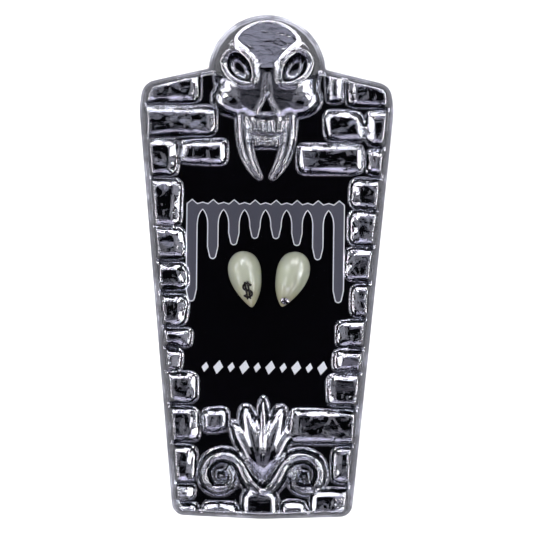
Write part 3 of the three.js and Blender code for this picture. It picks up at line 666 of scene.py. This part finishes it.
def arcadeLoops():
    p = cardPrint
    half = p["columnHalf"]
    columns = [p["left"] + p["pitch"] * i for i in range(len(p["feet"]))]
    widest = math.radians(62)
    outer = []
    for x, foot in zip(columns, p["feet"]):                    # feet and pointed arches, left to right
        outer += [(x - half, foot + 3.6)]
        outer += [(x - half * 0.62 * math.cos(k * math.pi / 6), foot + half * 0.62 * (1 - math.sin(k * math.pi / 6)))
                  for k in range(7)]
        outer += [(x + half, foot + 3.6)]
        if x == columns[-1]:
            break
        span = p["pitch"] / 2 - half
        middle = x + p["pitch"] / 2
        side = [(span * (1 - math.cos(widest * k / 6)) / (1 - math.cos(widest)),
                 p["springing"] + p["archRise"] * math.sin(widest * k / 6) / math.sin(widest)) for k in range(7)]
        outer += [(x + half + dx, y) for dx, y in side]
        outer += [(2 * middle - (x + half + dx), y) for dx, y in reversed(side[:-1])]
    for x in reversed(columns):                                # small gables, right to left
        outer += [(x + half, p["top"]), (x, p["top"] + 1.3), (x - half, p["top"])]
        if x != columns[0]:
            outer.append((x - p["pitch"] / 2, p["top"] + 0.5))
    return [outer]


def beadLoops():
    b = cardPrint["beads"]
    loops = []
    for i in range(b["count"]):
        x = (i - (b["count"] - 1) / 2) * b["pitch"]
        k = 1.0 if i % 2 else 0.72
        w, h, lean = b["halfWidth"] * k, b["halfHeight"] * k, b["slant"] * k
        loops.append([(x - w, b["y"]), (x - lean, b["y"] - h), (x + w, b["y"]), (x + lean, b["y"] + h)])
    return loops


def newMaterial(name):
    material = bpy.data.materials.new(name)
    material.use_nodes = True
    return material, material.node_tree.nodes, material.node_tree.links


def plainFinish(name, colour, roughness, **more):
    material, nodes, links = newMaterial(name)
    shader = nodes["Principled BSDF"]
    shader.inputs["Base Color"].default_value = (*colour, 1)
    shader.inputs["Roughness"].default_value = roughness
    for socket, value in more.items():
        shader.inputs[socket].default_value = value
    return material


plastic = {
    "roughness": 0.05, "grazing": 0.045, "streak": 0.4, "streakScale": 170,
    # the steep and edge colours are painted shade in the see-through colour; the dome and patch colours lift it in
    # places
    "tint": (0.97, 0.975, 0.985), "steepPaintedShade": (0.10, 0.10, 0.12), "edgePaintedShade": (0.03, 0.03, 0.04), "rimShare": 0.20,
    "domeShadeLift": (0.80, 0.80, 0.84), "patch": (0.45, 0.45, 0.50), "patchScale": 130,
}


def clearPlastic(name, streak):
    material, nodes, links = newMaterial(name)
    nodes.remove(nodes["Principled BSDF"])
    output = nodes["Material Output"]
    through = nodes.new("ShaderNodeBsdfTransparent")
    shade = nodes.new("ShaderNodeValToRGB")                    # steep walls look darker through: painted shade for the black card they show by refraction, more than their longer path would absorb
    shade.color_ramp.elements[0].position = 0.55
    shade.color_ramp.elements[0].color = (*plastic["tint"], 1)
    shade.color_ramp.elements[1].position = 1.0
    shade.color_ramp.elements[1].color = (*plastic["edgePaintedShade"], 1)
    shade.color_ramp.elements.new(0.82).color = (*plastic["steepPaintedShade"], 1)
    gloss = nodes.new("ShaderNodeBsdfGlossy")
    gloss.inputs["Color"].default_value = (0.93, 0.93, 1.0, 1)
    gloss.inputs["Roughness"].default_value = plastic["roughness"]
    facing = nodes.new("ShaderNodeLayerWeight")                # 0 face on, 1 edge on
    power = nodes.new("ShaderNodeMath")
    power.operation = "POWER"
    power.inputs[1].default_value = 5
    share = nodes.new("ShaderNodeMapRange")
    share.inputs["To Min"].default_value = plastic["grazing"]
    share.inputs["To Max"].default_value = plastic["rimShare"]
    both = nodes.new("ShaderNodeMixShader")
    links.new(facing.outputs["Facing"], shade.inputs["Fac"])
    links.new(shade.outputs["Color"], through.inputs["Color"])
    if streak:
        spot = nodes.new("ShaderNodeTexCoord")
        split = nodes.new("ShaderNodeSeparateXYZ")
        links.new(spot.outputs["Object"], split.inputs["Vector"])
        onDome = nodes.new("ShaderNodeMapRange")               # the dome past the head end stays light: no card lies behind it, so the painted shade is lifted there
        onDome.inputs["From Min"].default_value = (headY + case["headEdgeRise"] - 4) * mm
        onDome.inputs["From Max"].default_value = (headY + case["headEdgeRise"] + 3) * mm
        lighten = nodes.new("ShaderNodeMix")
        lighten.data_type = "RGBA"
        lighten.blend_type = "LIGHTEN"
        lighten.inputs["B"].default_value = (*plastic["domeShadeLift"], 1)
        links.new(split.outputs["Y"], onDome.inputs["Value"])
        links.new(onDome.outputs["Result"], lighten.inputs["Factor"])
        links.new(shade.outputs["Color"], lighten.inputs["A"])
        onWall = nodes.new("ShaderNodeMapRange")               # painted light patches on the side walls: the painted shade is lifted in places, for bright streaks seen through them
        onWall.inputs["From Min"].default_value = (case["pane"] - 0.8) * mm
        onWall.inputs["From Max"].default_value = (case["pane"] - 2.0) * mm
        squeeze = nodes.new("ShaderNodeMapping")
        squeeze.inputs["Scale"].default_value = (1.0, 1.0, 0.30)
        cloud = nodes.new("ShaderNodeTexNoise")
        cloud.inputs["Scale"].default_value = plastic["patchScale"]
        cloud.inputs["Detail"].default_value = 4
        patches = nodes.new("ShaderNodeMapRange")
        patches.inputs["From Min"].default_value = 0.50
        patches.inputs["From Max"].default_value = 0.60
        amount = nodes.new("ShaderNodeMath")
        amount.operation = "MULTIPLY"
        patched = nodes.new("ShaderNodeMix")
        patched.data_type = "RGBA"
        patched.inputs["B"].default_value = (*plastic["patch"], 1)
        links.new(split.outputs["Z"], onWall.inputs["Value"])
        links.new(spot.outputs["Object"], squeeze.inputs["Vector"])
        links.new(squeeze.outputs["Vector"], cloud.inputs["Vector"])
        links.new(cloud.outputs["Fac"], patches.inputs["Value"])
        links.new(onWall.outputs["Result"], amount.inputs[0])
        links.new(patches.outputs["Result"], amount.inputs[1])
        links.new(amount.outputs["Value"], patched.inputs["Factor"])
        links.new(lighten.outputs["Result"], patched.inputs["A"])
        links.new(patched.outputs["Result"], through.inputs["Color"])
    links.new(facing.outputs["Facing"], power.inputs[0])
    links.new(power.outputs["Value"], share.inputs["Value"])
    links.new(share.outputs["Result"], both.inputs["Fac"])
    links.new(through.outputs["BSDF"], both.inputs[1])
    links.new(gloss.outputs["BSDF"], both.inputs[2])
    links.new(both.outputs["Shader"], output.inputs["Surface"])
    if streak:
        place = nodes.new("ShaderNodeTexCoord")
        stretch = nodes.new("ShaderNodeMapping")
        stretch.inputs["Scale"].default_value = (1.0, 2.6, 1.0)
        grain = nodes.new("ShaderNodeTexNoise")
        grain.inputs["Scale"].default_value = plastic["streakScale"]
        grain.inputs["Detail"].default_value = 3
        grain.inputs["Distortion"].default_value = 0.8
        height = nodes.new("ShaderNodeSeparateXYZ")
        above = nodes.new("ShaderNodeMath")                    # none on the flat window
        above.operation = "SUBTRACT"
        above.inputs[1].default_value = case["pane"] * mm
        away = nodes.new("ShaderNodeMath")
        away.operation = "ABSOLUTE"
        raised = nodes.new("ShaderNodeMapRange")
        raised.inputs["From Min"].default_value = 0.8 * mm
        raised.inputs["From Max"].default_value = 3.0 * mm
        strength = nodes.new("ShaderNodeMath")
        strength.operation = "MULTIPLY"
        strength.inputs[1].default_value = streak
        bump = nodes.new("ShaderNodeBump")
        bump.inputs["Distance"].default_value = 0.5 * mm
        links.new(place.outputs["Object"], stretch.inputs["Vector"])
        links.new(place.outputs["Object"], height.inputs["Vector"])
        links.new(stretch.outputs["Vector"], grain.inputs["Vector"])
        links.new(height.outputs["Z"], above.inputs[0])
        links.new(above.outputs["Value"], away.inputs[0])
        links.new(away.outputs["Value"], raised.inputs["Value"])
        links.new(raised.outputs["Result"], strength.inputs[0])
        links.new(strength.outputs["Value"], bump.inputs["Strength"])
        links.new(grain.outputs["Fac"], bump.inputs["Height"])
        links.new(bump.outputs["Normal"], gloss.inputs["Normal"])
    return material


def cardFinish():
    material, nodes, links = newMaterial("blackCard")
    shader = nodes["Principled BSDF"]
    shader.inputs["Roughness"].default_value = 0.7
    shader.inputs["Specular IOR Level"].default_value = 0.0
    place = nodes.new("ShaderNodeTexCoord")
    parts = nodes.new("ShaderNodeSeparateXYZ")
    face = nodes.new("ShaderNodeMath")                         # printed where it faces front or back
    face.operation = "ABSOLUTE"
    colour = nodes.new("ShaderNodeValToRGB")
    colour.color_ramp.interpolation = "CONSTANT"
    colour.color_ramp.elements[0].color = (0.42, 0.27, 0.17, 1)
    colour.color_ramp.elements[1].position = 0.5
    colour.color_ramp.elements[1].color = (0.0016, 0.0014, 0.0024, 1)
    links.new(place.outputs["Normal"], parts.inputs["Vector"])
    links.new(parts.outputs["Z"], face.inputs[0])
    links.new(face.outputs["Value"], colour.inputs["Fac"])
    links.new(colour.outputs["Color"], shader.inputs["Base Color"])
    return material


def ivoryFinish():
    material, nodes, links = newMaterial("fangIvory")
    shader = nodes["Principled BSDF"]
    shader.inputs["Roughness"].default_value = 0.04
    shader.inputs["Specular IOR Level"].default_value = 0.40
    shader.inputs["Subsurface Weight"].default_value = 0.35
    shader.inputs["Subsurface Radius"].default_value = (1.0, 0.9, 0.6)
    shader.inputs["Subsurface Scale"].default_value = 1.2 * mm
    place = nodes.new("ShaderNodeTexCoord")
    parts = nodes.new("ShaderNodeSeparateXYZ")
    along = nodes.new("ShaderNodeMapRange")
    along.inputs["From Min"].default_value = (footY + fang["top"] - fang["length"]) * mm
    along.inputs["From Max"].default_value = (footY + fang["top"]) * mm
    colour = nodes.new("ShaderNodeValToRGB")
    colour.color_ramp.elements[0].color = (0.66, 0.60, 0.40, 1)
    colour.color_ramp.elements[1].position = 0.45
    colour.color_ramp.elements[1].color = (0.68, 0.70, 0.54, 1)
    links.new(place.outputs["Object"], parts.inputs["Vector"])
    links.new(parts.outputs["Y"], along.inputs["Value"])
    links.new(along.outputs["Result"], colour.inputs["Fac"])
    links.new(colour.outputs["Color"], shader.inputs["Base Color"])
    return material


def crystalFinish():
    material = plainFinish("foiledCrystal", (0.22, 0.21, 0.23), 0.06, Metallic=1.0)
    nodes, links = material.node_tree.nodes, material.node_tree.links
    glint = nodes.new("ShaderNodeTexVoronoi")
    glint.inputs["Scale"].default_value = 1700
    tilt = nodes.new("ShaderNodeBump")
    tilt.inputs["Strength"].default_value = 1.0
    tilt.inputs["Distance"].default_value = 0.12 * mm
    place = nodes.new("ShaderNodeTexCoord")
    paintedFacetGlints = nodes.new("ShaderNodeValToRGB")                   # painted glints and painted shade: some of the gem's faces dark, some bright
    paintedFacetGlints.color_ramp.interpolation = "CONSTANT"
    paintedFacetGlints.color_ramp.elements[0].color = (0.012, 0.010, 0.012, 1)
    paintedFacetGlints.color_ramp.elements[1].position = 0.50
    paintedFacetGlints.color_ramp.elements[1].color = (0.30, 0.28, 0.30, 1)
    links.new(glint.outputs["Color"], paintedFacetGlints.inputs["Fac"])
    links.new(paintedFacetGlints.outputs["Color"], nodes["Principled BSDF"].inputs["Base Color"])
    links.new(place.outputs["Object"], glint.inputs["Vector"])
    links.new(glint.outputs["Distance"], tilt.inputs["Height"])
    links.new(tilt.outputs["Normal"], nodes["Principled BSDF"].inputs["Normal"])
    return material


def wear(obj, material):
    obj.data.materials.clear()
    obj.data.materials.append(material)
    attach(obj, "root")


coverSheet = makeCoverSheet()
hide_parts("case_cover")
wear(coverSheet, clearPlastic("clearFormedPlastic", plastic["streak"]))
wear(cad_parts["case_tray"], clearPlastic("clearTrayPlastic", 0))
wear(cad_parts["backing_card"], cardFinish())
print("case made")

ivory = ivoryFinish()
leftFang = makeFang("fangCapLeft", -1)
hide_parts("fang_left")
wear(leftFang, ivory)
rightFang = makeFang("fangCapRight", 1)
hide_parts("fang_right")
wear(rightFang, ivory)
print("fangs made:", len(leftFang.data.polygons), "faces each")

dollarSign = makeCharm(leftFang)
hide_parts("dollar_charm")
wear(dollarSign, plainFinish("darkMetal", (0.006, 0.003, 0.002), 0.45, **{"Specular IOR Level": 0.15}))
wear(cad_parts["crystal"], crystalFinish())

arcade = addFlat("printedArcade", arcadeLoops(), cardPrint["thick"], cardPrint["z"])
wear(arcade, plainFinish("printGrey", (0.102, 0.101, 0.128), 0.7, **{"Specular IOR Level": 0.0}))
arcadeLine = addLines("printedArcadeLine", arcadeLoops(), cardPrint["line"], cardPrint["z"] + 0.03)
wear(arcadeLine, plainFinish("printPale", (0.90, 0.91, 0.95), 0.7, **{"Specular IOR Level": 0.0}))
beads = addFlat("printedBeads", beadLoops(), cardPrint["thick"], cardPrint["z"])
wear(beads, plainFinish("printWhite", (0.88, 0.89, 0.93), 0.7, **{"Specular IOR Level": 0.0}))
print("print made")


studio = {
    "floor": 0.9, "floorGlow": 0.45, "world": 0.006,
    # azimuth and elevation in degrees, distance, width, height in metres, radiance, colour
    "softboxes": [
        (0, 16, 0.75, 1.30, 0.40, 32.0, (1.0, 1.0, 1.0)),
        (90, 16, 0.75, 1.20, 0.40, 28.0, (0.96, 0.96, 1.0)),
        (180, 16, 0.75, 1.30, 0.40, 22.0, (1.0, 0.99, 1.0)),
        (270, 16, 0.75, 1.20, 0.40, 10.0, (0.84, 0.82, 1.0)),
        (90, 52, 0.75, 0.40, 0.34, 3.4, (0.82, 0.83, 1.0)),
        (0, 50, 0.75, 0.60, 0.30, 3.0, (0.92, 0.92, 1.0)),
        (180, 50, 0.75, 0.60, 0.30, 2.4, (0.92, 0.92, 1.0)),
        (270, 50, 0.75, 0.60, 0.30, 1.6, (0.84, 0.82, 1.0)),
        (55, 38, 0.70, 0.15, 0.11, 95.0, (1.0, 1.0, 1.0)),
        (125, 38, 0.70, 0.15, 0.11, 95.0, (1.0, 1.0, 1.0)),
        (72, 20, 0.70, 0.10, 0.10, 90.0, (1.0, 1.0, 1.0)),
        (108, 20, 0.70, 0.10, 0.10, 90.0, (1.0, 1.0, 1.0)),
        (90, 70, 0.80, 0.70, 0.20, 1.5, (0.84, 0.86, 1.0)),
        (0, 70, 0.80, 0.70, 0.20, 1.5, (0.92, 0.92, 1.0)),
        (180, 70, 0.80, 0.70, 0.20, 1.3, (0.92, 0.92, 1.0)),
        (270, 70, 0.80, 0.70, 0.20, 0.6, (0.86, 0.86, 1.0)),
    ],
    "overhead": {"height": 1.1, "size": 0.9, "radiance": 2.2},
    "ring": {"lamps": 6, "elevation": 24, "distance": 0.75, "width": 0.40, "height": 0.24, "radiance": 6.0},
}


def addSoftbox(name, place, width, height, radiance, colour, inGloss=True, inDiffuse=True):
    bpy.ops.object.light_add(type="AREA", location=place)
    lamp = bpy.context.object
    lamp.name = name
    lamp.rotation_euler = (-Vector(place)).to_track_quat("-Z", "Y").to_euler()
    lamp.data.shape = "RECTANGLE"
    lamp.data.size, lamp.data.size_y = width, height
    lamp.data.energy = radiance * math.pi * width * height
    lamp.data.color = colour
    lamp.visible_glossy = inGloss
    lamp.visible_diffuse = inDiffuse
    return lamp


def around(azimuth, elevation, distance):
    turn, rise = math.radians(azimuth), math.radians(elevation)
    return (distance * math.cos(rise) * math.cos(turn), distance * math.cos(rise) * math.sin(turn),
            distance * math.sin(rise))


for i, (azimuth, elevation, distance, width, height, radiance, colour) in enumerate(studio["softboxes"]):
    addSoftbox(f"softbox{i}", around(azimuth, elevation, distance), width, height, radiance, colour, inDiffuse=False)
over = studio["overhead"]
addSoftbox("overhead", (-0.15, 0.2, over["height"]), over["size"], over["size"], over["radiance"], (1, 1, 1),
           inGloss=False)
ring = studio["ring"]
for i in range(ring["lamps"]):                                 # soft light on the fangs' flanks
    place = around(360 * (i + 0.5) / ring["lamps"], ring["elevation"], ring["distance"])
    addSoftbox(f"ring{i}", place, ring["width"], ring["height"], ring["radiance"], (1, 1, 1), inGloss=False)

world = bpy.data.worlds.new("studio")
bpy.context.scene.world = world
world.use_nodes = True
world.node_tree.nodes["Background"].inputs["Color"].default_value = (1, 1, 1, 1)
world.node_tree.nodes["Background"].inputs["Strength"].default_value = studio["world"]

bpy.ops.mesh.primitive_plane_add(size=6, location=(0, 0, -0.0002))
floor = settle(named("floor"))
floor.data.materials.append(plainFinish(
    "paleFloor", (studio["floor"],) * 3, 0.8,
    **{"Specular IOR Level": 0.0, "Emission Color": (1, 1, 1, 1), "Emission Strength": studio["floorGlow"]}))

view = {"distance": 0.9, "plane": 0.003, "width": 0.1599, "roll": 0.65, "shift": 0.0005}
bpy.ops.object.camera_add(location=(view["shift"], 0, view["plane"] + view["distance"]),
                          rotation=(0, 0, math.radians(view["roll"])))
camera = bpy.context.object
camera.data.sensor_width = 36
camera.data.lens = 36 * view["distance"] / view["width"]
camera.data.clip_start = 0.05
bpy.context.scene.camera = camera
bpy.context.scene.view_settings.view_transform = "Standard"
print("stage set")
